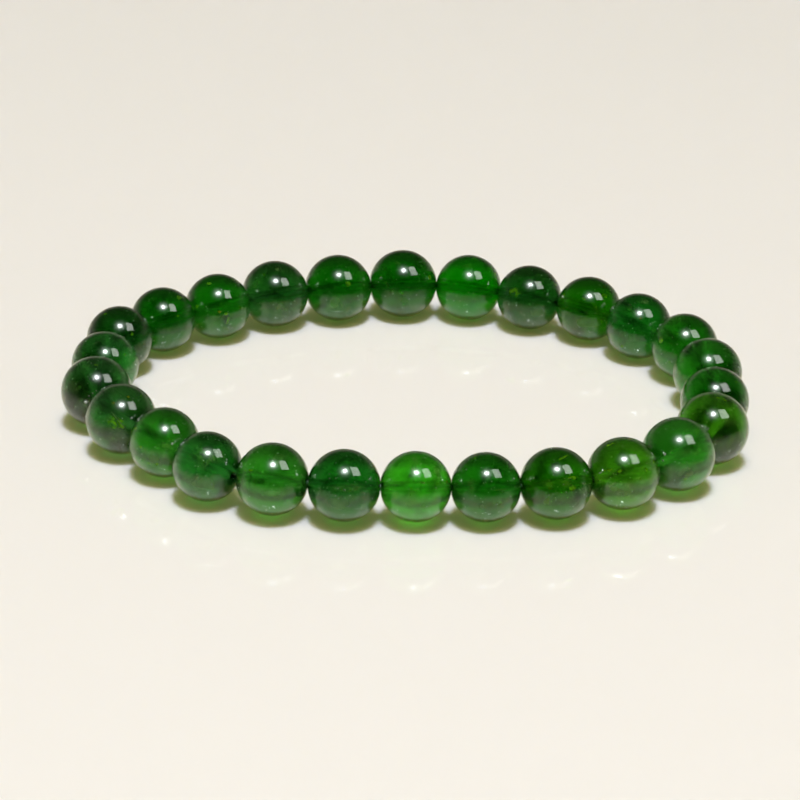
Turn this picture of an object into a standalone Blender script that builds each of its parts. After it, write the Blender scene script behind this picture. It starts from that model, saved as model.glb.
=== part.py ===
"""Bracelet of 26 round chrome diopside beads on an elastic cord, lying closed on a table.

Metres, +Z up. The strand lies as an oval ring: each bead stands on the plane z = 0 with its
hole level, and the middle of the ring's outline is over the origin. The front row is at -Y.
"""

import math

import bmesh
import bpy
from mathutils import Matrix, Vector

MM = 0.001

# The strand, from the left end along the front to the right end and back behind. Each bead
# has its diameter in mm, the angle in degrees by which the strand bends at it, and its tone.
BEADS = (
    (7.65, 27, "deep"),
    (7.55, 17, "deep"),
    (7.40, -1, "bright"),
    (7.30, 26, "bluish"),
    (7.55, 15, "bright"),
    (7.50, 10, "bluish"),
    (7.35, 1, "bright"),
    (7.25, 5, "bright"),
    (7.50, 13, "olive"),
    (7.60, 18, "olive"),
    (7.80, 20, "leaf"),
    (7.80, 25, "olive"),
    (7.45, 8, "leaf"),
    (7.60, 14, "leaf"),
    (7.45, 25, "leaf"),
    (7.45, 7, "bluish"),
    (7.35, 19, "olive"),
    (7.40, 4, "deep"),
    (7.55, 16, "bright"),
    (7.80, 15, "leaf"),
    (7.65, 5, "leaf"),
    (7.60, 14, "deep"),
    (7.40, 4, "leaf"),
    (7.30, 18, "leaf"),
    (7.35, 29, "deep"),
    (7.35, 6, "bluish"),
)
START_HEADING = 268.0  # degrees from +X: the way the strand comes into the first bead
BEAD_GAP = 0.06  # mm left between neighbours, which touch on the real strand

LENGTH_SHARE = 0.975  # a bead's length along its hole over its diameter: its ends are flat
BORE_DIAMETER = 1.1  # mm
CORD_DIAMETER = 0.5  # mm
SETTLING_PASSES = 3  # each turns every bead half of the way to where the taut cord pulls it

SIDES = 16  # facets round a bead and its bore; one of them lies flat on the table
ARC_SEGMENTS = 7  # facets from one flat end of a bead to the other
CORD_BEVEL_RESOLUTION = 2  # makes eight sides

TONES = {
    "bright": (0.030, 0.235, 0.014, 1.0),
    "leaf": (0.022, 0.150, 0.018, 1.0),
    "olive": (0.050, 0.165, 0.010, 1.0),
    "bluish": (0.014, 0.140, 0.045, 1.0),
    "deep": (0.008, 0.060, 0.014, 1.0),
}
STONE_ROUGHNESS = 0.05
CORD_COLOUR = (0.62, 0.72, 0.66, 1.0)
CORD_ROUGHNESS = 0.35


def clear_scene():
    for obj in list(bpy.data.objects):
        bpy.data.objects.remove(obj)


def plain_material(name, colour, roughness):
    material = bpy.data.materials.new(name)
    material.use_nodes = True
    shader = material.node_tree.nodes["Principled BSDF"]
    shader.inputs["Base Color"].default_value = colour
    shader.inputs["Roughness"].default_value = roughness
    shader.inputs["Metallic"].default_value = 0.0
    return material


def half_length(diameter):
    """Millimetres from a bead's centre to its flat end, along its hole."""
    return LENGTH_SHARE * diameter / 2


def reach(diameter, off_axis):
    """Millimetres from a bead's centre to its surface, that angle (radians) off its hole."""
    return min(diameter / 2, half_length(diameter) / math.cos(off_axis))


def lay_strand():
    """Each bead's centre, in mm, and the heading of its hole, in radians.

    The strand runs from centre to centre and bends at each bead, whose hole halves the bend.
    Two neighbours lie as far apart as their surfaces reach towards each other, plus the gap.
    """
    centres = []
    headings = []
    heading = math.radians(START_HEADING)
    place = Vector((0.0, 0.0, 0.0))
    for number, (diameter, bend, _) in enumerate(BEADS):
        half_bend = math.radians(bend) / 2
        centres.append(Vector((place.x, place.y, diameter / 2)))
        headings.append(heading + half_bend)
        heading += 2 * half_bend
        next_diameter, next_bend, _ = BEADS[(number + 1) % len(BEADS)]
        spacing = reach(diameter, half_bend) + reach(next_diameter, math.radians(next_bend) / 2)
        place += (spacing + BEAD_GAP) * along_hole(heading)
    return centres, headings


def along_hole(heading):
    return Vector((math.cos(heading), math.sin(heading), 0.0))


def mouths(centres, headings):
    """For each bead, the middle of its hole's mouth behind it and of the one ahead of it."""
    halves = [
        half_length(bead[0]) * along_hole(heading) for bead, heading in zip(BEADS, headings)
    ]
    behind = [centre - half for centre, half in zip(centres, halves)]
    ahead = [centre + half for centre, half in zip(centres, halves)]
    return behind, ahead


def settle_holes(centres, headings):
    """Turns each hole towards the line from the last bead's mouth to the next bead's."""
    for _ in range(SETTLING_PASSES):
        behind, ahead = mouths(centres, headings)
        for number, heading in enumerate(headings):
            pull = behind[(number + 1) % len(BEADS)] - ahead[number - 1]
            off = math.atan2(pull.y, pull.x) - heading
            headings[number] += (((off + math.pi) % math.tau) - math.pi) / 2


def bead_outline(diameter):
    """A bead's closed half section as (mm along the hole, mm from its axis) pairs.

    From the mouth of the bore over the flat end, round the sphere and back at the other end.
    The facets touch the sphere from outside, so that a middle one lies flat at its diameter.
    """
    radius = diameter / 2
    end = half_length(diameter)
    first = math.acos(end / radius)
    step = (math.pi - 2 * first) / ARC_SEGMENTS
    outer = radius / math.cos(step / 2)
    angles = [first + step * (segment + 0.5) for segment in range(ARC_SEGMENTS)]
    corners = [(angles[i] + angles[i + 1]) / 2 for i in range(ARC_SEGMENTS - 1)]
    flat_edge = radius * math.sin(first)
    return (
        [(end, BORE_DIAMETER / 2), (end, flat_edge)]
        + [(outer * math.cos(angle), outer * math.sin(angle)) for angle in corners]
        + [(-end, flat_edge), (-end, BORE_DIAMETER / 2)]
    )


def make_bead(name, diameter, material):
    """A drilled bead with its hole along local X, turned from its half section."""
    half_side = math.pi / SIDES
    upright = Matrix.Rotation(half_side, 3, "X")
    mesh = bpy.data.meshes.new(name)
    solid = bmesh.new()
    ring = [
        solid.verts.new(upright @ Vector((along, 0.0, off / math.cos(half_side))) * MM)
        for along, off in bead_outline(diameter)
    ]
    edges = [solid.edges.new((ring[i - 1], ring[i])) for i in range(len(ring))]
    bmesh.ops.spin(
        solid,
        geom=ring + edges,
        cent=(0.0, 0.0, 0.0),
        axis=(1.0, 0.0, 0.0),
        angle=math.tau,
        steps=SIDES,
        use_merge=True,
    )
    bmesh.ops.recalc_face_normals(solid, faces=solid.faces)
    solid.to_mesh(mesh)
    solid.free()
    mesh.shade_smooth()
    mesh.set_sharp_from_angle(angle=math.radians(40))
    mesh.materials.append(material)
    obj = bpy.data.objects.new(name, mesh)
    bpy.context.scene.collection.objects.link(obj)
    return obj


def make_cord(name, centres, headings, material):
    """The elastic: a closed round cord that runs from between two mouths to the next two."""
    curve = bpy.data.curves.new(name, "CURVE")
    curve.dimensions = "3D"
    curve.twist_mode = "Z_UP"
    curve.bevel_depth = CORD_DIAMETER / 2 * MM
    curve.bevel_resolution = CORD_BEVEL_RESOLUTION
    route = curve.splines.new("POLY")
    route.points.add(len(BEADS) - 1)
    route.use_cyclic_u = True
    behind, ahead = mouths(centres, headings)
    for number, point in enumerate(route.points):
        point.co = (*((ahead[number - 1] + behind[number]) / 2 * MM), 1.0)
    curve.materials.append(material)
    obj = bpy.data.objects.new(name, curve)
    bpy.context.scene.collection.objects.link(obj)
    return obj


def centre_outline(pieces, holder):
    """Moves the holder so that the middle of the pieces' outline is over the origin."""
    bpy.context.view_layer.update()
    corners = [
        piece.matrix_world @ vertex.co
        for piece in pieces
        if piece.type == "MESH"
        for vertex in piece.data.vertices
    ]
    for axis in (0, 1):
        values = [corner[axis] for corner in corners]
        holder.location[axis] = -(min(values) + max(values)) / 2


def main():
    clear_scene()
    stones = {
        tone: plain_material(f"polished chrome diopside, {tone}", colour, STONE_ROUGHNESS)
        for tone, colour in TONES.items()
    }
    elastic = plain_material("clear elastic", CORD_COLOUR, CORD_ROUGHNESS)
    holder = bpy.data.objects.new("bracelet", None)
    bpy.context.scene.collection.objects.link(holder)

    centres, headings = lay_strand()
    settle_holes(centres, headings)
    pieces = []
    for number, (diameter, _, tone) in enumerate(BEADS):
        bead = make_bead(f"bead_{number + 1:02d}", diameter, stones[tone])
        bead.location = centres[number] * MM
        bead.rotation_euler.z = headings[number]
        pieces.append(bead)
    pieces.append(make_cord("elastic_cord", centres, headings, elastic))
    for piece in pieces:
        piece.parent = holder
    centre_outline(pieces, holder)


main()
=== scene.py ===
"""The looks of a bracelet: 26 polished chrome diopside beads strung on one elastic cord."""

import math

import bpy
import numpy as np
from mathutils import Matrix, Vector


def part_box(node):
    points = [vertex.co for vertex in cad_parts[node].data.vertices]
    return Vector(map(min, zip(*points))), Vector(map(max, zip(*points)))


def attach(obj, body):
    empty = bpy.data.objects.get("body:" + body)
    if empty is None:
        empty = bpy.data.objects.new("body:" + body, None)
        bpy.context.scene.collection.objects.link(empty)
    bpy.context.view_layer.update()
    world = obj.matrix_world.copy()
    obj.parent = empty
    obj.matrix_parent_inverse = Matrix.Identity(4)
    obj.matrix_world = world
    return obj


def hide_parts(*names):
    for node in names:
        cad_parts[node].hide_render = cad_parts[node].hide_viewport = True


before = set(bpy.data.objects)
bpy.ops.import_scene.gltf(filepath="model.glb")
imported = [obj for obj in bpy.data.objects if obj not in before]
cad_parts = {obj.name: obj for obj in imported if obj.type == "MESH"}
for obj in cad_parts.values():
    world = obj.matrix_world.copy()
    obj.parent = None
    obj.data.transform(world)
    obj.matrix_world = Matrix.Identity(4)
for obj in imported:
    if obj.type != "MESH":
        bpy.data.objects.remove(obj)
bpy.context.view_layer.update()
scene = bpy.context.scene
MM = 0.001


# The view. A long lens in front of the bracelet, about a quarter of the way up, held slightly
# turned. The aim is a point on the table near the middle of the ring.
PHOTO_WIDTH_PX = 800
FOCAL_LENGTH_PX = 3600
SENSOR_WIDTH = 36.0
VIEW_ELEVATION = math.radians(24.17)
VIEW_ROLL = math.radians(1.37)
VIEW_DISTANCE = 396.3 * MM
NEAREST_SEEN = 10 * MM
AIM = Vector((-0.58, 2.76, 0.0)) * MM

forward = Vector((0.0, math.cos(VIEW_ELEVATION), -math.sin(VIEW_ELEVATION)))
level_up = Vector((0.0, math.sin(VIEW_ELEVATION), math.cos(VIEW_ELEVATION)))
level_right = Vector((1.0, 0.0, 0.0))
photo_right = level_right * math.cos(VIEW_ROLL) + level_up * math.sin(VIEW_ROLL)
photo_up = level_up * math.cos(VIEW_ROLL) - level_right * math.sin(VIEW_ROLL)
camera_data = bpy.data.cameras.new("photo_view")
camera_data.sensor_width = SENSOR_WIDTH
camera_data.lens = FOCAL_LENGTH_PX / PHOTO_WIDTH_PX * SENSOR_WIDTH
camera_data.clip_start = NEAREST_SEEN
camera = bpy.data.objects.new("photo_view", camera_data)
scene.collection.objects.link(camera)
turned = Matrix((photo_right, photo_up, -forward)).transposed()
camera.matrix_world = Matrix.Translation(AIM - forward * VIEW_DISTANCE) @ turned.to_4x4()
scene.camera = camera

# Light has to cross a bead's skin, its flaws and its drilled hole, and often a second bead.
LIGHT_BOUNCES = 24
BRIGHTEST_BOUNCE = 200
scene.view_settings.view_transform = "Standard"
scene.cycles.max_bounces = LIGHT_BOUNCES
scene.cycles.transmission_bounces = LIGHT_BOUNCES
scene.cycles.transparent_max_bounces = LIGHT_BOUNCES
scene.cycles.sample_clamp_indirect = BRIGHTEST_BOUNCE
scene.cycles.caustics_reflective = False
scene.cycles.blur_glossy = 0


# The table: a pale slab of polished, slightly milky stone-like acrylic. Light is scattered a
# little below its face, so shadows are soft and warm at their edges, and the face mirrors faintly.
# It slopes up a little towards the back, where the real slab's shadows lie closer to the beads.
TABLE_HALF_WIDTH = 6.0
TABLE_DEPTH = 0.36 * MM
TABLE_RISE = 0.0077
FACE_GAP = 0.01 * MM
SQUARE = ((-1, -1), (1, -1), (1, 1), (-1, 1))


def linear(hex_colour):
    """An sRGB hex colour as linear red, green, blue and alpha."""
    parts = [int(hex_colour[i : i + 2], 16) / 255 for i in (1, 3, 5)]
    return [c / 12.92 if c <= 0.04045 else ((c + 0.055) / 1.055) ** 2.4 for c in parts] + [1.0]


def node(tree, kind, settings=(), links=()):
    """Adds a node, sets its properties and plain inputs, and links the inputs it is given."""
    made = tree.nodes.new(kind)
    for name, value in dict(settings).items():
        if isinstance(name, int) or name in made.inputs:
            made.inputs[name].default_value = value
        else:
            setattr(made, name, value)
    for name, source in dict(links).items():
        tree.links.new(source, made.inputs[name])
    return made


def blank_material(name):
    """A new material with an empty node tree."""
    material = bpy.data.materials.new(name)
    material.use_nodes = True
    material.node_tree.nodes.clear()
    return material, material.node_tree


def flat_piece(name, corners, material):
    """One four-cornered face, for the table and the lights."""
    mesh = bpy.data.meshes.new(name)
    mesh.from_pydata([tuple(corner) for corner in corners], [], [(0, 1, 2, 3)])
    mesh.materials.append(material)
    obj = bpy.data.objects.new(name, mesh)
    scene.collection.objects.link(obj)
    return obj


def table_corners(height):
    """The corners of a square round the origin, each raised by its place towards the back."""
    places = [(x * TABLE_HALF_WIDTH, y * TABLE_HALF_WIDTH) for x, y in SQUARE]
    return [(x, y, height + y * TABLE_RISE) for x, y in places]


# Milky acrylic scatters light through itself, red farthest. A bead mirrors it a little yellower.
# Seen through a bead it is painted as lit in part wherever it lies, shadows and all. A faint green
# glow painted all over it stands in for light that has come through the stones into its deepest shadow.
SCATTER_REACH = 2.8 * MM
SCATTER_BY_COLOUR = (1.0, 0.85, 0.55)
SLAB_COLOUR = "#f0e8de"
SLAB_MIRRORED = "#e2dcc6"
SLAB_PAINTED_LIT = "#f1ede0"
PAINTED_LIT_SHARE = 0.3
PAINTED_GREEN_GLOW = 0.08
PAINTED_GREEN_GLOW_COLOUR = (0.7, 1.0, 0.24, 1.0)
milky, tree = blank_material("milky acrylic")
ray = node(tree, "ShaderNodeLightPath")
colour = node(tree, "ShaderNodeMix", {
    "data_type": "RGBA",
    6: linear(SLAB_COLOUR),
    7: linear(SLAB_MIRRORED),
}, {0: ray.outputs["Is Glossy Ray"]})
slab = node(tree, "ShaderNodeBsdfPrincipled", {
    "subsurface_method": "BURLEY",
    "Subsurface Weight": 1.0,
    "Subsurface Radius": SCATTER_BY_COLOUR,
    "Subsurface Scale": SCATTER_REACH,
    "Specular IOR Level": 0.0,
    "Roughness": 1.0,
    # Painted green glow: the slab emits it everywhere, in light and in shadow alike.
    "Emission Color": PAINTED_GREEN_GLOW_COLOUR,
    "Emission Strength": PAINTED_GREEN_GLOW,
}, {"Base Color": colour.outputs[2]})
# Painted light: rays that have crossed a bead see the slab partly as this evenly lit glow, with no shadow.
painted_lit_table = node(tree, "ShaderNodeEmission", {"Color": linear(SLAB_PAINTED_LIT)})
lift = node(tree, "ShaderNodeMath", {
    "operation": "MULTIPLY",
    1: PAINTED_LIT_SHARE,
}, {0: ray.outputs["Is Transmission Ray"]})
seen = node(tree, "ShaderNodeMixShader", (), {
    0: lift.outputs[0],
    1: slab.outputs[0],
    2: painted_lit_table.outputs[0],
})
node(tree, "ShaderNodeOutputMaterial", (), {"Surface": seen.outputs[0]})
milky.cycles.emission_sampling = "NONE"
table = flat_piece("table", table_corners(-TABLE_DEPTH), milky)

# The polished face lets light out freely and mirrors by Fresnel from above alone.
ACRYLIC_IOR = 1.49
FACE_ROUGHNESS = 0.05
face_skin, tree = blank_material("polished acrylic face")
fresnel = node(tree, "ShaderNodeFresnel", {"IOR": ACRYLIC_IOR})
side = node(tree, "ShaderNodeNewGeometry")
above = node(tree, "ShaderNodeMath", {"operation": "SUBTRACT", 0: 1.0}, {1: side.outputs["Backfacing"]})
share = node(tree, "ShaderNodeMath", {"operation": "MULTIPLY"}, {0: fresnel.outputs[0], 1: above.outputs[0]})
clear = node(tree, "ShaderNodeBsdfTransparent")
mirror = node(tree, "ShaderNodeBsdfGlossy", {"Roughness": FACE_ROUGHNESS})
skin = node(tree, "ShaderNodeMixShader", (), {0: share.outputs[0], 1: clear.outputs[0], 2: mirror.outputs[0]})
node(tree, "ShaderNodeOutputMaterial", (), {"Surface": skin.outputs[0]})
flat_piece("table_face", table_corners(FACE_GAP - TABLE_DEPTH), face_skin)


# The light: one small round lamp high in front, a soft panel to its right, and a dark room.
# The lamp lights the table; its bright face and the panel are what the polished beads mirror.
LAMP_PLACE = Vector((18.0, -322.0, 890.0)) * MM
FLOOD_TIMES_FARTHER = 3.2
FLOOD_DIAMETER = 360 * MM
FLOOD_WATTS = 104.0
FLOOD_COLOUR = (0.885, 0.89, 1.0)
lamp_data = bpy.data.lights.new("lamp", "AREA")
lamp_data.shape = "DISK"
lamp_data.size = FLOOD_DIAMETER
lamp_data.energy = FLOOD_WATTS
lamp_data.color = FLOOD_COLOUR
lamp_data.cycles.is_caustics_light = True
table.cycles.is_caustics_receiver = True
lamp = bpy.data.objects.new("lamp", lamp_data)
scene.collection.objects.link(lamp)
lamp_turn = LAMP_PLACE.to_track_quat("Z", "Y").to_matrix().to_4x4()
lamp.matrix_world = Matrix.Translation(LAMP_PLACE * FLOOD_TIMES_FARTHER) @ lamp_turn
lamp.visible_glossy = False

# Frosted glass in front of the lamp: a bright core in a glow. With x for the way out in core
# radii, the brightness falls as (1 + x * x) to the power GLOW_FALL, times a straight fade that
# ends at the glow's edge. Light that a bead has bent finds only the fade.
FACE_BRIGHTNESS = 75.0
FACE_COLOUR = (0.95, 1.0, 1.0, 1.0)
CORE_HALF_ANGLE = math.radians(5.5)
GLOW_HALF_ANGLE = math.radians(34)
GLOW_FALL = -1.6
BENT_LIGHT = 5.0
core_radius = LAMP_PLACE.length * CORE_HALF_ANGLE
lamp_face, tree = blank_material("frosted lamp glass")
place = node(tree, "ShaderNodeTexCoord")
off_middle = node(tree, "ShaderNodeVectorMath", {
    "operation": "DISTANCE",
    1: LAMP_PLACE,
}, {0: place.outputs["Object"]})
way_out = node(tree, "ShaderNodeMath", {
    "operation": "DIVIDE",
    1: core_radius,
}, {0: off_middle.outputs["Value"]})
spread = node(tree, "ShaderNodeMath", {
    "operation": "MULTIPLY_ADD",
    2: 1.0,
}, {0: way_out.outputs[0], 1: way_out.outputs[0]})
fall = node(tree, "ShaderNodeMath", {"operation": "POWER", 1: GLOW_FALL}, {0: spread.outputs[0]})
fade = node(tree, "ShaderNodeMath", {
    "operation": "MULTIPLY_ADD",
    "use_clamp": True,
    1: -CORE_HALF_ANGLE / GLOW_HALF_ANGLE,
    2: 1.0,
}, {0: way_out.outputs[0]})
fallen = node(tree, "ShaderNodeMath", {"operation": "MULTIPLY"}, {0: fall.outputs[0], 1: fade.outputs[0]})
glow = node(tree, "ShaderNodeMath", {"operation": "MULTIPLY", 1: FACE_BRIGHTNESS}, {0: fallen.outputs[0]})
bent = node(tree, "ShaderNodeMath", {"operation": "MULTIPLY", 1: BENT_LIGHT}, {0: fade.outputs[0]})
ray = node(tree, "ShaderNodeLightPath")
strength = node(tree, "ShaderNodeMix", (), {
    0: ray.outputs["Is Transmission Ray"],
    2: glow.outputs[0],
    3: bent.outputs[0],
})
shine = node(tree, "ShaderNodeEmission", {"Color": FACE_COLOUR}, {"Strength": strength.outputs[0]})
node(tree, "ShaderNodeOutputMaterial", (), {"Surface": shine.outputs[0]})
lamp_face.cycles.emission_sampling = "NONE"

# The panel is one evenly lit sheet of white cloth, given by the ways to its four corners.
PANEL_BRIGHTNESS = 5.0
PANEL_COLOUR = (1.0, 1.0, 0.98, 1.0)
PANEL_DISTANCE = 600 * MM
PANEL_WAYS = [(0.247, -0.108, 0.963), (0.512, 0.067, 0.856), (0.743, -0.249, 0.621), (0.443, -0.496, 0.747)]
panel_face, tree = blank_material("soft light panel")
shine = node(tree, "ShaderNodeEmission", {"Color": PANEL_COLOUR, "Strength": PANEL_BRIGHTNESS})
node(tree, "ShaderNodeOutputMaterial", (), {"Surface": shine.outputs[0]})
panel_face.cycles.emission_sampling = "NONE"

to_lamp = LAMP_PLACE.normalized()
across = to_lamp.cross(Vector((0, 0, 1))).normalized()
along = to_lamp.cross(across)
reach = LAMP_PLACE.length * math.tan(GLOW_HALF_ANGLE)
lamp_corners = [LAMP_PLACE + (across * a + along * b) * reach for a, b in SQUARE]
panel_corners = [Vector(way).normalized() * PANEL_DISTANCE for way in PANEL_WAYS]
for name, corners, glass in (("lamp_face", lamp_corners, lamp_face), ("panel", panel_corners, panel_face)):
    shown = flat_piece(name, corners, glass)
    shown.visible_camera = False
    shown.visible_diffuse = False
    shown.visible_transmission = shown.name == "lamp_face"
    shown.visible_shadow = False

# The room: a warm, dim fill for the shadows. Behind the table stands a pale backdrop that ends at
# BACKDROP_TOP. It shows through the beads, dimmer higher up, and all else there is dark. Where
# the beads mirror the room, only the foot of the backdrop is bright enough to show.
ROOM_FILL = 0.14
ROOM_FILL_COLOUR = (1.0, 0.92, 0.55, 1.0)
ROOM_DARK = 0.05
BACKDROP_COLOUR = "#efeadd"
BACKDROP_SIDES = (-0.1, 0.3)
BACKDROP_TOP = math.sin(math.radians(42))
BACKDROP_SOFTNESS = 0.1
DIMMED_HEIGHTS = (0.1, 0.35)
DIMMED_TO = 0.76
MIRRORED_COLOUR = "#fff6e0"
MIRRORED_FOOT = 0.28
MIRRORED_ABOVE = 0.02
MIRRORED_HEIGHT = 0.45
world = bpy.data.worlds.new("dim room")
world.use_nodes = True
tree = world.node_tree
tree.nodes.clear()
ray = node(tree, "ShaderNodeLightPath")
fill = node(tree, "ShaderNodeBackground", {"Color": ROOM_FILL_COLOUR, "Strength": ROOM_FILL})
direction = node(tree, "ShaderNodeTexCoord")
parts = node(tree, "ShaderNodeSeparateXYZ", (), {0: direction.outputs["Generated"]})
behind = node(tree, "ShaderNodeMapRange", {
    "interpolation_type": "SMOOTHSTEP",
    "From Min": BACKDROP_SIDES[0],
    "From Max": BACKDROP_SIDES[1],
    "To Min": ROOM_DARK,
    "To Max": 1.0,
}, {"Value": parts.outputs["Y"]})
low = node(tree, "ShaderNodeMapRange", {
    "interpolation_type": "SMOOTHSTEP",
    "From Min": BACKDROP_TOP - BACKDROP_SOFTNESS,
    "From Max": BACKDROP_TOP + BACKDROP_SOFTNESS,
    "To Min": 1.0,
    "To Max": ROOM_DARK,
}, {"Value": parts.outputs["Z"]})
dimmer = node(tree, "ShaderNodeMapRange", {
    "From Min": DIMMED_HEIGHTS[0],
    "From Max": DIMMED_HEIGHTS[1],
    "To Min": 1.0,
    "To Max": DIMMED_TO,
}, {"Value": parts.outputs["Z"]})
low_part = node(tree, "ShaderNodeMath", {"operation": "MULTIPLY"}, {0: dimmer.outputs[0], 1: low.outputs[0]})
backdrop = node(tree, "ShaderNodeMath", {
    "operation": "MULTIPLY",
}, {0: behind.outputs[0], 1: low_part.outputs[0]})
pale = node(tree, "ShaderNodeBackground", {
    "Color": linear(BACKDROP_COLOUR),
}, {"Strength": backdrop.outputs[0]})
foot = node(tree, "ShaderNodeMapRange", {
    "interpolation_type": "SMOOTHSTEP",
    "From Min": 0.0,
    "From Max": MIRRORED_HEIGHT,
    "To Min": MIRRORED_FOOT,
    "To Max": MIRRORED_ABOVE,
}, {"Value": parts.outputs["Z"]})
far_off = node(tree, "ShaderNodeMath", {"operation": "MULTIPLY"}, {0: foot.outputs[0], 1: behind.outputs[0]})
dark = node(tree, "ShaderNodeBackground", {
    "Color": linear(MIRRORED_COLOUR),
}, {"Strength": far_off.outputs[0]})
mirrored = node(tree, "ShaderNodeMixShader", (), {
    0: ray.outputs["Is Glossy Ray"],
    1: fill.outputs[0],
    2: dark.outputs[0],
})
room = node(tree, "ShaderNodeMixShader", (), {
    0: ray.outputs["Is Transmission Ray"],
    1: mirrored.outputs[0],
    2: pale.outputs[0],
})
node(tree, "ShaderNodeOutputWorld", (), {"Surface": room.outputs[0]})
scene.world = world


# The 26 beads: round beads cut from rough chrome diopside, drilled through the middle, ground
# a little flat where they meet and tumbled to a glassy polish. Light comes through them deep green.
BEAD_COUNT = 26
BEAD_NAMES = [f"bead_{number:02d}" for number in range(1, BEAD_COUNT + 1)]
HOLE_RADIUS = 0.38 * MM
MOUTH_ROUNDING = 0.12 * MM
MOUTH_TOLERANCE = 0.01 * MM
AROUND = 112
ARC_POINTS = 60
MOUTH_POINTS = 5
WALL_POINTS = 14
# The CAD beads stand a little apart. Each visible bead is longer by TOUCH at both ends.
TOUCH = 0.025 * MM
# Diopside's own IOR, the roughness that stands in for the many fine flaws that scatter light in
# it, and the IOR with which the polished skin mirrors as strongly as the real one does.
STONE_IOR = 1.68
CLOUDINESS = 0.24
SKIN_IOR = 1.6

# What is left of white light that has crossed a bead of each tone.
TONES = {
    "bright": "#169504",
    "leaf": "#0f6a06",
    "olive": "#1f7302",
    "bluish": "#0c600e",
    "deep": "#0a4409",
}
# Each bead's finish, its tone, and how strongly that tone colours it.
STONES = [
    ("deep", "deep", 0.70),
    ("deep", "deep", 0.64),
    ("bright", "leaf", 0.74),
    ("bluish", "bluish", 0.76),
    ("bright", "leaf", 0.70),
    ("bluish", "bluish", 0.92),
    ("bright", "bright", 0.72),
    ("bright", "leaf", 0.95),
    ("olive", "olive", 1.10),
    ("olive", "olive", 0.74),
    ("leaf", "leaf", 0.67),
    ("olive", "olive", 0.74),
    ("leaf", "leaf", 0.90),
    ("leaf", "leaf", 0.80),
    ("leaf", "leaf", 0.93),
    ("bluish", "bluish", 0.97),
    ("olive", "olive", 1.25),
    ("deep", "deep", 0.93),
    ("bright", "bright", 1.33),
    ("leaf", "leaf", 1.20),
    ("leaf", "leaf", 1.12),
    ("deep", "deep", 0.83),
    ("leaf", "leaf", 1.05),
    ("leaf", "leaf", 1.17),
    ("deep", "deep", 0.97),
    ("bluish", "bluish", 0.70),
]


def bead_place(name):
    """A bead's centre, diameter, the level way its hole runs, and half its length along that.

    The CAD bead's corners nearest its centre are the hole's mouths, and the way is their longest
    axis.
    """
    low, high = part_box(name)
    centre = np.array((low + high) / 2)
    corners = np.array([vertex.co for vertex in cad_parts[name].data.vertices]) - centre
    distance = np.linalg.norm(corners, axis=1)
    mouths = corners[distance < distance.min() + MOUTH_TOLERANCE]
    way = np.linalg.eigh(mouths.T @ mouths)[1][:, -1]
    way = np.array([way[0], way[1], 0.0]) / math.hypot(way[0], way[1])
    return centre, high.z - low.z, way, np.abs(mouths @ way).max()


def closed_quads(rows, columns):
    """The faces of a grid that closes on itself both ways: each joins a point to the next ones."""
    row = np.arange(rows)[:, None] * columns
    next_row = (np.arange(rows)[:, None] + 1) % rows * columns
    column = np.arange(columns)[None]
    next_column = (column + 1) % columns
    corners = [row + column, next_row + column, next_row + next_column, row + next_column]
    return np.stack(corners, -1).reshape(-1, 4)


def turned_mesh(name, profile, centre, way):
    """Carries a closed profile (along the hole, out from it) round the hole as a grid of quads."""
    turn = np.linspace(0, 2 * np.pi, AROUND, endpoint=False)
    beside = np.array([-way[1], way[0], 0.0])
    outward = np.cos(turn)[:, None] * beside + np.sin(turn)[:, None] * np.array([0.0, 0.0, 1.0])
    points = centre + profile[:, None, :1] * way + profile[:, None, 1:] * outward[None]
    mesh = bpy.data.meshes.new(name)
    mesh.from_pydata(points.reshape(-1, 3).tolist(), [], closed_quads(len(profile), AROUND).tolist())
    mesh.update()
    mesh.shade_smooth()
    return mesh


def bead_profile(radius, half_length):
    """A circle's arc from mouth to mouth, a quarter-round at each, and the hole's straight wall."""
    first = np.arccos(half_length / radius)
    angles = np.linspace(first, np.pi - first, ARC_POINTS)[1:-1]
    arc = np.c_[radius * np.cos(angles), radius * np.sin(angles)]
    quarter = np.linspace(0, np.pi / 2, MOUTH_POINTS)
    depth = half_length - MOUTH_ROUNDING
    mouth = np.c_[
        depth + MOUTH_ROUNDING * np.sin(quarter),
        HOLE_RADIUS + MOUTH_ROUNDING * (1 - np.cos(quarter)),
    ]
    wall = np.c_[np.linspace(-depth, depth, WALL_POINTS + 2)[1:-1], np.full(WALL_POINTS, HOLE_RADIUS)]
    return np.r_[mouth, arc, (mouth * (-1, 1))[::-1], wall]


def diopside(name, tone, strength, thickness):
    """Polished stone: a glassy skin over a faintly cloudy body that soaks up red and blue light.

    Absorption is worked out from the colour left after a crossing: minus its logarithm, over the
    thickness.
    """
    material, tree = blank_material(name)
    body = node(tree, "ShaderNodeBsdfPrincipled", {
        "Base Color": (1.0, 1.0, 1.0, 1.0),
        "Transmission Weight": 1.0,
        "IOR": STONE_IOR,
        "Roughness": CLOUDINESS,
        "Specular Tint": (0.0, 0.0, 0.0, 1.0),
        "Coat Weight": 1.0,
        "Coat Roughness": 0.0,
        "Coat IOR": SKIN_IOR,
    })
    lost = -np.log(np.array(linear(TONES[tone])[:3])) * strength / thickness
    density = float(lost.max())
    colour = [float(1 - part / density) for part in lost] + [1.0]
    depth = node(tree, "ShaderNodeVolumeAbsorption", {"Color": colour, "Density": density})
    node(tree, "ShaderNodeOutputMaterial", (), {"Surface": body.outputs[0], "Volume": depth.outputs[0]})
    return material


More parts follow.
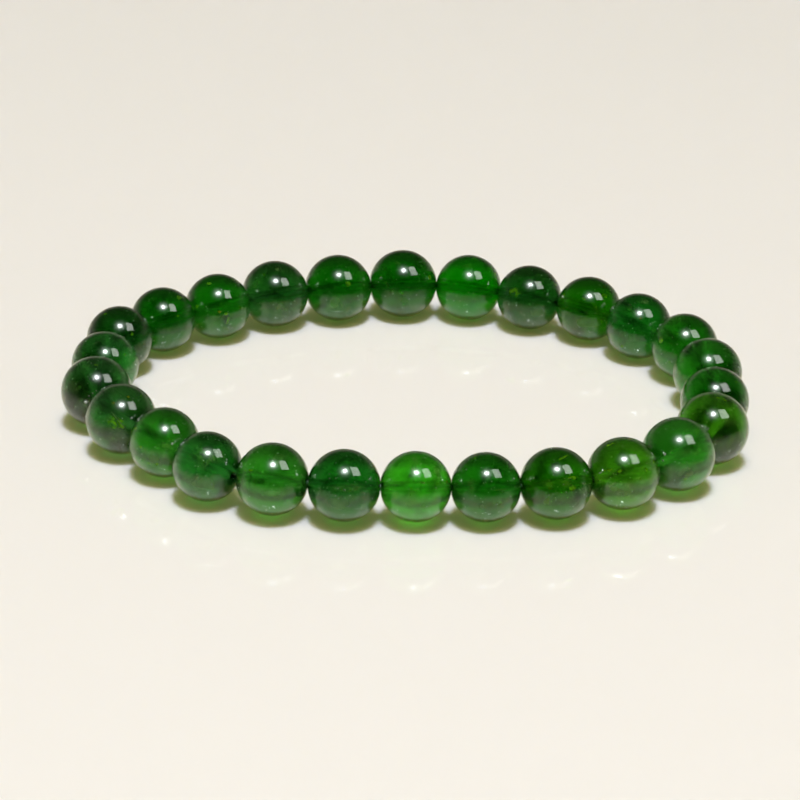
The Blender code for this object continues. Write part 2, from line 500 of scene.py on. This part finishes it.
places = {name: bead_place(name) for name in BEAD_NAMES}
for name, (slot, tone, strength) in zip(BEAD_NAMES, STONES):
    centre, diameter, way, half_length = places[name]
    mesh = turned_mesh(f"polished_{name}", bead_profile(diameter / 2, half_length + TOUCH), centre, way)
    mesh.materials.append(diopside(f"polished chrome diopside, {name}", tone, strength, diameter))
    bead = bpy.data.objects.new(f"polished_{name}", mesh)
    scene.collection.objects.link(bead)
    bead.cycles.is_caustics_caster = True
    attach(bead, "root")
    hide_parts(name)


# What is inside the stone. Diopside splits along two sets of planes at right angles, so its
# healed cracks are thin feathers that catch light, and fine specks of other minerals lie between.
# Some bright sheets in front are painted glints and a painted reflection, drawn as bright colour.
FEATHER_POINTS = 9
FEATHER_SKIN = 0.04 * MM
RIPPLE = 0.3
SEED = 26
ALMOST_NOTHING = 1e-9
LEAST_FACING = 0.01
# Where a sheet starts to thin and has ended, from its middle, in its own sides, and the noise
# below which it is clear and above which it is full.
THICK_TO = 0.12
THIN_FROM = 0.5
CLEAR_BELOW = 0.38
FULL_ABOVE = 0.68
random = np.random.default_rng(SEED)
toward = np.array(-forward)
right_of_photo = np.array(photo_right)
up_in_photo = np.array(photo_up)


def seen_inside(name, across, up, depth):
    """The point that lies so deep under the spot of the bead that the view shows at (across, up).

    All three are in bead radii, across and up from the bead's middle. The line of sight bends at
    the polished skin by Snell's law.
    """
    centre, diameter = places[name][:2]
    radius = diameter / 2
    out = math.sqrt(max(1 - across * across - up * up, LEAST_FACING))
    normal = across * right_of_photo + up * up_in_photo + out * toward
    bend = out / STONE_IOR - math.sqrt(1 - (1 - out * out) / STONE_IOR**2)
    inward = -toward / STONE_IOR + normal * bend
    return centre + radius * normal + inward * depth * radius, inward


def kept_inside(points, name, skin):
    """Moves points that would leave the stone back under its skin, and out of its drilled hole."""
    centre, diameter, way, half_length = places[name]
    local = points - centre
    distance = np.linalg.norm(local, axis=-1, keepdims=True)
    local = local * np.minimum(1, (diameter / 2 - skin) / distance)
    along = (local @ way)[..., None] * way
    off = local - along
    from_hole = np.maximum(np.linalg.norm(off, axis=-1, keepdims=True), ALMOST_NOTHING)
    off = off * np.maximum(1, (HOLE_RADIUS + skin) / from_hole)
    from_middle = np.maximum(np.linalg.norm(along, axis=-1, keepdims=True), ALMOST_NOTHING)
    along = along * np.minimum(1, (half_length - skin) / from_middle)
    return centre + along + off


def feather_points(name, middle, first, second, bow):
    """A thin sheet: first and second are its half sides, and it bows by the square of the way out.

    A sine ripple of RIPPLE times the bow crosses it at a slant.
    """
    steps = np.linspace(-1, 1, FEATHER_POINTS)
    a, b = np.meshgrid(steps, steps)
    normal = np.cross(first, second)
    normal = normal / np.linalg.norm(normal)
    points = middle + a[..., None] * first + b[..., None] * second
    points = points + (bow * (a * a + b * b) + RIPPLE * bow * np.sin(5 * a + 3 * b))[..., None] * normal
    return kept_inside(points, name, FEATHER_SKIN).reshape(-1, 3)


def joined(name, vertices, faces, coordinates, material):
    """One object from vertex and face arrays, with its own flat coordinates if it is given any."""
    mesh = bpy.data.meshes.new(name)
    mesh.from_pydata(vertices.tolist(), [], faces.tolist())
    if coordinates is not None:
        layer = mesh.uv_layers.new(name="UVMap")
        layer.data.foreach_set("uv", coordinates[faces.reshape(-1)].astype(np.float32).reshape(-1))
    mesh.materials.append(material)
    mesh.update()
    mesh.shade_smooth()
    obj = bpy.data.objects.new(name, mesh)
    scene.collection.objects.link(obj)
    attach(obj, "root")
    return obj


def feather_material(name, hex_colour, opacity, grain):
    """A matt sheet, thickest in its middle and patchy, with the patches' size in millimetres."""
    material, tree = blank_material(name)
    place = node(tree, "ShaderNodeTexCoord")
    middle = node(tree, "ShaderNodeVectorMath", {
        "operation": "DISTANCE",
        1: (0.5, 0.5, 0.0),
    }, {0: place.outputs["UV"]})
    fade = node(tree, "ShaderNodeMapRange", {
        "interpolation_type": "SMOOTHSTEP",
        "From Min": THICK_TO,
        "From Max": THIN_FROM,
        "To Min": 1.0,
        "To Max": 0.0,
    }, {"Value": middle.outputs["Value"]})
    patches = node(tree, "ShaderNodeTexNoise", {
        "Scale": 1 / (grain * MM),
        "Detail": 4.0,
    }, {"Vector": place.outputs["Object"]})
    patchy = node(tree, "ShaderNodeMapRange", {
        "From Min": CLEAR_BELOW,
        "From Max": FULL_ABOVE,
        "To Min": 0.0,
        "To Max": opacity,
    }, {"Value": patches.outputs[0]})
    alpha = node(tree, "ShaderNodeMath", {
        "operation": "MULTIPLY",
    }, {0: fade.outputs[0], 1: patchy.outputs[0]})
    sheet = node(tree, "ShaderNodeBsdfPrincipled", {
        "Base Color": linear(hex_colour),
        "Roughness": 0.8,
        "Specular IOR Level": 0.0,
    }, {"Alpha": alpha.outputs[0]})
    node(tree, "ShaderNodeOutputMaterial", (), {"Surface": sheet.outputs[0]})
    return material


# Each kind's name, colour, opacity and size of patches in millimetres.
FEATHERS = {
    "pale": ("healed crack, pale", "#d4f09a", 0.6, 1.0),
    "dark": ("healed crack, dark", "#0e2a0c", 0.7, 1.0),
    "lime_and_glint": ("healed crack, yellow green, and painted glints", "#c0ff44", 2.0, 0.5),
    "line": ("cleavage edge, and a painted reflection", "#e6f0b8", 1.0, 2.0),
    "gold_and_glint": ("iron-stained fleck, and painted glints", "#e8c83a", 1.2, 0.8),
    "haze": ("fine cloud in the stone", "#d6f0a8", 0.6, 3.0),
}
# The flaws that show in front: bead, middle across and up, depth, half width and height, roll, kind.
# Several lime and gold sheets are partly the stone's own yellow-green and iron-stained flecks and
# partly painted glints, and bead 5's line near its right side is a painted reflection.
# Lengths are in bead radii, and the roll is in degrees. The depths are drawn at DEPTH_SHARE.
DEPTH_SHARE = 0.8
SEEN_BOW = 0.03
SEEN_FEATHERS = [
    (7, -0.05, 0.62, 0.25, 0.14, 0.34, 0, "pale"),
    (7, 0.24, 0.72, 0.30, 0.24, 0.16, -10, "dark"),
    (7, -0.45, 0.66, 0.35, 0.24, 0.16, 15, "dark"),
    (7, -0.47, 0.13, 0.45, 0.30, 0.06, 0, "pale"),
    (7, 0.18, 0.13, 0.30, 0.12, 0.03, 0, "line"),
    (7, -0.05, -0.30, 0.25, 0.22, 0.34, 6, "pale"),
    (7, 0.60, 0.42, 0.35, 0.18, 0.24, 0, "pale"),
    (7, 0.13, -0.06, 0.40, 0.05, 0.16, 0, "dark"),
    (7, 0.86, 0.17, 0.08, 0.06, 0.04, 0, "gold_and_glint"),
    (7, 0.91, 0.12, 0.08, 0.07, 0.04, 0, "lime_and_glint"),
    (7, 0.27, -0.70, 0.10, 0.03, 0.02, 0, "gold_and_glint"),
    (7, 0.57, -0.28, 0.10, 0.02, 0.02, 0, "gold_and_glint"),
    (7, 0.54, -0.42, 0.10, 0.02, 0.02, 0, "gold_and_glint"),
    (8, -0.51, 0.67, 0.10, 0.09, 0.05, 30, "gold_and_glint"),
    (8, -0.46, 0.03, 0.20, 0.16, 0.34, 0, "pale"),
    (8, 0.38, -0.05, 0.20, 0.38, 0.016, 3, "line"),
    (8, 0.45, -0.12, 0.20, 0.30, 0.012, 5, "line"),
    (8, 0.40, -0.60, 0.15, 0.14, 0.03, 35, "dark"),
    (8, 0.20, 0.40, 0.60, 0.40, 0.30, 20, "dark"),
    (6, 0.35, 0.70, 0.30, 0.30, 0.18, -35, "dark"),
    (6, -0.60, 0.40, 0.40, 0.24, 0.30, 20, "dark"),
    (6, 0.10, -0.05, 0.25, 0.60, 0.18, 0, "pale"),
    (6, -0.20, 0.20, 0.45, 0.50, 0.12, 10, "dark"),
    (6, 0.75, -0.05, 0.25, 0.10, 0.30, 0, "dark"),
    (5, -0.61, 0.25, 0.10, 0.22, 0.035, 0, "lime_and_glint"),
    (5, 0.81, 0.14, 0.06, 0.07, 0.018, -45, "line"),
    (5, 0.20, 0.55, 0.30, 0.30, 0.20, 25, "pale"),
    (5, -0.30, -0.05, 0.35, 0.40, 0.12, 0, "dark"),
    (9, 0.41, 0.17, 0.20, 0.16, 0.07, 0, "lime_and_glint"),
    (9, 0.41, -0.11, 0.20, 0.14, 0.09, 10, "lime_and_glint"),
    (9, 0.05, 0.02, 0.40, 0.60, 0.16, 0, "pale"),
    (9, -0.41, 0.80, 0.06, 0.06, 0.03, 0, "gold_and_glint"),
    (9, -0.62, 0.20, 0.20, 0.22, 0.34, 0, "dark"),
    (9, 0.10, 0.70, 0.20, 0.40, 0.05, 30, "lime_and_glint"),
    (9, 0.00, 0.55, 0.15, 0.40, 0.14, 20, "dark"),
    (10, -0.56, 0.10, 0.08, 0.05, 0.025, 0, "gold_and_glint"),
    (10, -0.42, 0.11, 0.15, 0.14, 0.06, 0, "lime_and_glint"),
    (10, -0.15, 0.08, 0.15, 0.10, 0.05, 30, "lime_and_glint"),
    (10, 0.54, 0.14, 0.15, 0.14, 0.06, -30, "lime_and_glint"),
    (10, 0.79, 0.33, 0.12, 0.08, 0.08, 0, "lime_and_glint"),
    (10, -0.37, 0.80, 0.12, 0.16, 0.06, 20, "lime_and_glint"),
    (10, 0.40, -0.45, 0.15, 0.50, 0.10, 45, "pale"),
    (10, 0.30, -0.20, 0.30, 0.40, 0.14, 25, "pale"),
    (11, 0.35, 0.10, 0.30, 0.60, 0.14, 15, "pale"),
    (11, -0.25, 0.10, 0.08, 0.16, 0.012, 60, "line"),
    (1, 0.20, 0.35, 0.20, 0.50, 0.34, -20, "dark"),
    (1, 0.04, 0.73, 0.10, 0.07, 0.04, 10, "lime_and_glint"),
    (1, -0.56, 0.10, 0.20, 0.24, 0.30, 10, "pale"),
    (2, -0.06, -0.12, 0.30, 0.34, 0.20, -25, "lime_and_glint"),
    (2, -0.02, -0.02, 0.15, 0.42, 0.02, -50, "line"),
    (2, -0.45, 0.30, 0.25, 0.24, 0.30, 0, "dark"),
    (2, -0.45, -0.35, 0.40, 0.34, 0.24, 0, "dark"),
    (3, -0.27, 0.57, 0.12, 0.16, 0.02, 32, "line"),
    (3, -0.60, 0.62, 0.08, 0.18, 0.016, -35, "line"),
    (3, -0.80, 0.40, 0.10, 0.08, 0.07, 0, "lime_and_glint"),
    (3, -0.16, -0.60, 0.12, 0.12, 0.05, 40, "lime_and_glint"),
    (3, -0.39, -0.58, 0.12, 0.08, 0.04, -30, "lime_and_glint"),
    (3, -0.62, -0.15, 0.12, 0.06, 0.09, 0, "lime_and_glint"),
    (3, 0.10, -0.10, 0.35, 0.50, 0.20, 25, "pale"),
    (4, -0.20, 0.40, 0.15, 0.40, 0.02, 50, "line"),
    (4, 0.30, 0.30, 0.30, 0.30, 0.24, 0, "pale"),
    (4, -0.20, -0.20, 0.30, 0.40, 0.20, 40, "dark"),
    (12, 0.22, 0.80, 0.10, 0.24, 0.05, -25, "lime_and_glint"),
    (12, 0.30, 0.20, 0.25, 0.40, 0.24, 10, "pale"),
    (12, -0.30, 0.50, 0.25, 0.30, 0.20, 30, "dark"),
    (13, 0.58, 0.55, 0.10, 0.06, 0.05, 0, "lime_and_glint"),
    (15, -0.76, 0.20, 0.15, 0.12, 0.14, 0, "lime_and_glint"),
    (16, -0.57, -0.61, 0.08, 0.10, 0.13, 20, "lime_and_glint"),
    (16, -0.55, -0.58, 0.06, 0.06, 0.07, 20, "gold_and_glint"),
    (16, 0.15, 0.74, 0.20, 0.20, 0.12, 0, "pale"),
    (17, -0.82, 0.37, 0.12, 0.10, 0.14, 0, "lime_and_glint"),
    (17, -0.18, 0.29, 0.25, 0.12, 0.07, -30, "lime_and_glint"),
    (17, 0.44, 0.37, 0.25, 0.16, 0.10, 30, "lime_and_glint"),
    (18, -0.49, 0.13, 0.25, 0.24, 0.18, 0, "lime_and_glint"),
    (18, 0.10, 0.70, 0.20, 0.50, 0.24, 0, "dark"),
    (19, 0.84, 0.30, 0.15, 0.09, 0.20, 0, "lime_and_glint"),
    (20, -0.70, 0.17, 0.15, 0.10, 0.07, 0, "lime_and_glint"),
    (20, 0.78, 0.17, 0.15, 0.09, 0.10, 0, "lime_and_glint"),
    (21, 0.30, 0.09, 0.20, 0.13, 0.11, 0, "lime_and_glint"),
    (22, 0.12, 0.72, 0.20, 0.16, 0.14, 0, "pale"),
    (23, -0.61, -0.03, 0.10, 0.08, 0.07, 0, "lime_and_glint"),
    (23, 0.085, -0.20, 0.08, 0.08, 0.06, 0, "gold_and_glint"),
    (23, 0.30, -0.26, 0.12, 0.08, 0.06, 0, "lime_and_glint"),
    (23, 0.34, -0.48, 0.15, 0.05, 0.16, -15, "lime_and_glint"),
    (23, -0.25, 0.67, 0.15, 0.10, 0.08, 0, "lime_and_glint"),
    (24, 0.53, 0.67, 0.15, 0.12, 0.12, 0, "lime_and_glint"),
    (25, -0.40, 0.75, 0.10, 0.06, 0.05, 0, "lime_and_glint"),
    (26, -0.25, 0.63, 0.10, 0.12, 0.03, 20, "line"),
    (26, -0.76, 0.48, 0.10, 0.10, 0.12, 0, "lime_and_glint"),
]
# A faint cloud in each bead's lower half, square to the bent line of sight.
HAZE_UP = -0.46
HAZE_DEPTH = 0.40
HAZE_HALF_WIDTH = 0.66
HAZE_HALF_HEIGHT = 0.30
HAZE_BOW = -0.04
# The flaws that lie anywhere in each bead: kind, how many, how far out, and their half sides.
# They lie near the bead's two cleavage planes, give or take CLEAVAGE_SCATTER.
SPREAD_FEATHERS = [
    ("pale", 4, (0.3, 0.85), (0.15, 0.5)),
    ("dark", 4, (0.3, 0.85), (0.15, 0.5)),
    ("lime_and_glint", 2, (0.6, 0.95), (0.02, 0.09)),
    ("gold_and_glint", 2, (0.6, 0.95), (0.02, 0.09)),
]
CLEAVAGE_SCATTER = 0.25
SPREAD_BOW = 0.04


def feather_sides(name, roll, half_width, half_height, facing):
    """Half sides of a sheet square to a direction, turned about it by roll in degrees."""
    radius = places[name][1] / 2
    level = np.cross(up_in_photo, facing)
    level = level / np.linalg.norm(level)
    rise = np.cross(facing, level)
    turn = math.radians(roll)
    first = level * math.cos(turn) + rise * math.sin(turn)
    second = rise * math.cos(turn) - level * math.sin(turn)
    return first * half_width * radius, second * half_height * radius


sheets = {kind: [] for kind in FEATHERS}
for number, u, v, depth, half_width, half_height, roll, kind in SEEN_FEATHERS:
    name = BEAD_NAMES[number - 1]
    middle, inward = seen_inside(name, u, v, depth * DEPTH_SHARE)
    first, second = feather_sides(name, roll, half_width, half_height, -inward)
    sheets[kind].append(feather_points(name, middle, first, second, SEEN_BOW * places[name][1]))
for name in BEAD_NAMES:
    middle, inward = seen_inside(name, 0.0, HAZE_UP, HAZE_DEPTH)
    first, second = feather_sides(name, 0, HAZE_HALF_WIDTH, HAZE_HALF_HEIGHT, -inward)
    sheets["haze"].append(feather_points(name, middle, first, second, HAZE_BOW * places[name][1]))
for name in BEAD_NAMES:
    centre, diameter = places[name][:2]
    axes = np.linalg.qr(random.normal(size=(3, 3)))[0]
    for kind, count, ways_out, half_sides in SPREAD_FEATHERS:
        for _ in range(count):
            normal_axis = random.integers(2)
            lean = axes[:, normal_axis] + random.normal(0, CLEAVAGE_SCATTER, 3)
            lean = lean / np.linalg.norm(lean)
            out = random.normal(size=3)
            out = out / np.linalg.norm(out) * diameter / 2 * random.uniform(*ways_out)
            size = random.uniform(*half_sides, 2)
            first = np.cross(lean, axes[:, 2])
            first = first / np.linalg.norm(first)
            second = np.cross(lean, first)
            first = first * size[0] * diameter / 2
            second = second * size[1] * diameter / 2
            sheets[kind].append(feather_points(name, centre + out, first, second, SPREAD_BOW * diameter))

steps = np.linspace(0, 1, FEATHER_POINTS)
one_coordinates = np.stack(np.meshgrid(steps, steps), -1).reshape(-1, 2)
span = np.arange(FEATHER_POINTS - 1)
corner = (span[:, None] * FEATHER_POINTS + span).reshape(-1)
one_faces = np.stack([corner, corner + 1, corner + FEATHER_POINTS + 1, corner + FEATHER_POINTS], -1)
for kind, (label, hex_colour, opacity, grain) in FEATHERS.items():
    count = len(sheets[kind])
    faces = (one_faces[None] + (np.arange(count) * FEATHER_POINTS**2)[:, None, None]).reshape(-1, 4)
    coordinates = np.tile(one_coordinates, (count, 1))
    material = feather_material(label, hex_colour, opacity, grain)
    joined(f"feathers_{kind}", np.concatenate(sheets[kind]), faces, coordinates, material)

# Specks: tiny eight-sided grains of other minerals, most of them close under the skin, and pale
# grains that are painted highlights. All half sizes are in millimetres, and depths in bead radii.
SPECKS_PER_BEAD = 70
SPECK_SIZE = (0.035 * MM, 0.09 * MM)
SPECK_SKIN = 0.08 * MM
LEAST_SPECK_DEPTH = 0.03
SPECK_DEPTH = 0.18
LEAST_WAY_OUT = 0.2
# The ones that show in front: bead, across, up, and the half size that shows. Many of them are
# painted highlights: pale grains where the neighbouring beads' highlights are mirrored in the skin.
# The stone's cloud spreads a speck's light, so they are drawn SEEN_SPECK_SCALE times as large.
SEEN_SPECK_SCALE = 2.2
SEEN_SPECKS_AND_PAINTED_HIGHLIGHTS = [
    (7, -0.72, 0.22, 0.055), (7, 0.73, 0.19, 0.055), (7, 0.556, -0.01, 0.05),
    (8, -0.557, 0.51, 0.045), (8, -0.144, 0.57, 0.045), (8, -0.714, 0.185, 0.05), (8, -0.087, 0.14, 0.04),
    (8, -0.03, 0.17, 0.04), (8, 0.14, 0.185, 0.04), (8, 0.21, 0.01, 0.045), (8, 0.78, 0.256, 0.065),
    (8, 0.80, 0.03, 0.05),
    (6, 0.72, 0.187, 0.06), (6, 0.85, 0.176, 0.055), (6, -0.80, 0.277, 0.05), (6, -0.86, 0.27, 0.05),
    (6, -0.775, 0.236, 0.045), (6, -0.38, 0.324, 0.05), (6, -0.38, 0.21, 0.05), (6, 0.03, -0.10, 0.06),
    (6, -0.15, -0.06, 0.045), (6, 0.56, -0.20, 0.045),
    (5, 0.69, 0.13, 0.06),
    (9, -0.64, 0.17, 0.055), (9, 0.70, 0.02, 0.055), (9, 0.84, 0.33, 0.055), (9, 0.16, 0.0, 0.04),
    (9, 0.24, -0.21, 0.045), (9, -0.09, 0.66, 0.04),
    (11, -0.415, 0.016, 0.08), (11, -0.47, -0.15, 0.07), (11, -0.68, -0.04, 0.06),
    (1, -0.22, -0.30, 0.12), (1, -0.13, -0.13, 0.06), (1, -0.03, -0.06, 0.05), (1, 0.07, 0.01, 0.05),
    (1, 0.24, 0.06, 0.06), (2, 0.35, 0.03, 0.07), (3, 0.28, -0.02, 0.08), (3, 0.58, -0.01, 0.05),
    (3, -0.73, 0.66, 0.07), (4, 0.57, 0.07, 0.05), (4, -0.20, 0.02, 0.04), (4, -0.29, 0.03, 0.04),
    (22, -0.83, 0.08, 0.06), (24, -0.54, 0.0, 0.06), (10, -0.92, 0.05, 0.05),
]
octahedron = np.array([(1, 0, 0), (-1, 0, 0), (0, 1, 0), (0, -1, 0), (0, 0, 1), (0, 0, -1)], float)
octahedron_faces = np.array(
    [(0, 2, 4), (2, 1, 4), (1, 3, 4), (3, 0, 4), (2, 0, 5), (1, 2, 5), (3, 1, 5), (0, 3, 5)]
)
grains = []
for number, u, v, size in SEEN_SPECKS_AND_PAINTED_HIGHLIGHTS:
    middle, inward = seen_inside(BEAD_NAMES[number - 1], u, v, LEAST_SPECK_DEPTH)
    grains.append(middle + octahedron * size * SEEN_SPECK_SCALE * MM)
for name in BEAD_NAMES:
    centre, diameter = places[name][:2]
    out = random.normal(size=(SPECKS_PER_BEAD, 3))
    out = out / np.linalg.norm(out, axis=1, keepdims=True)
    depth = LEAST_SPECK_DEPTH + random.exponential(SPECK_DEPTH, (SPECKS_PER_BEAD, 1))
    middles = centre + out * diameter / 2 * np.maximum(1 - depth, LEAST_WAY_OUT)
    middles = kept_inside(middles, name, SPECK_SKIN)
    sizes = random.uniform(*SPECK_SIZE, (SPECKS_PER_BEAD, 1, 1))
    grains.extend(middles[:, None] + octahedron[None] * sizes)
material, tree = blank_material("pale mineral specks and painted highlights")
speck = node(tree, "ShaderNodeBsdfPrincipled", {
    "Base Color": linear("#f6f7ea"),
    "Roughness": 0.5,
    "Specular IOR Level": 0.2,
})
node(tree, "ShaderNodeOutputMaterial", (), {"Surface": speck.outputs[0]})
first_corners = np.arange(len(grains)) * len(octahedron)
faces = (octahedron_faces[None] + first_corners[:, None, None]).reshape(-1, 3)
# One object for the mineral specks and for the pale grains that are painted highlights.
joined("specks", np.concatenate(grains), faces, None, material)


# The cord: one length of clear, stretchy jelly cord through all the holes, its knot pulled into
# a hole. Between two beads it shows as a dark, greenish sliver.
CORD_RADIUS = 0.25 * MM
CORD_AROUND = 16
CORD_STEPS = 12
centres = np.array([places[name][0] for name in BEAD_NAMES])
between_beads = (centres + np.roll(centres, -1, axis=0)) / 2


def smooth_loop(corners, steps):
    """A closed curve through the corners, one cubic from each to the next.

    It passes each corner along the chord between the two neighbours of that corner.
    """
    share = np.linspace(0, 1, steps, endpoint=False)[None, :, None]
    before, start, end, after = (np.roll(corners, shift, axis=0)[:, None] for shift in (1, 0, -1, -2))
    leave = (end - before) / 2
    arrive = (after - start) / 2
    square = share * share
    cube = square * share
    path = (2 * cube - 3 * square + 1) * start + (cube - 2 * square + share) * leave
    return (path + (3 * square - 2 * cube) * end + (cube - square) * arrive).reshape(-1, 3)


path = smooth_loop(between_beads, CORD_STEPS)
tangent = np.roll(path, -1, axis=0) - np.roll(path, 1, axis=0)
beside = np.c_[-tangent[:, 1], tangent[:, 0], np.zeros(len(path))]
beside = beside / np.linalg.norm(beside, axis=1, keepdims=True)
turn = np.linspace(0, 2 * np.pi, CORD_AROUND, endpoint=False)[None, :, None]
ring = np.cos(turn) * beside[:, None] + np.sin(turn) * np.array([0.0, 0.0, 1.0])
points = (path[:, None] + CORD_RADIUS * ring).reshape(-1, 3)
material, tree = blank_material("clear stretch cord, tinted by the stones")
jelly = node(tree, "ShaderNodeBsdfPrincipled", {
    "Base Color": linear("#bfe6d2"),
    "Roughness": 0.3,
    "IOR": 1.5,
    "Transmission Weight": 0.85,
})
node(tree, "ShaderNodeOutputMaterial", (), {"Surface": jelly.outputs[0]})
cord = joined("stretch_cord", points, closed_quads(len(path), CORD_AROUND), None, material)
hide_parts("elastic_cord")
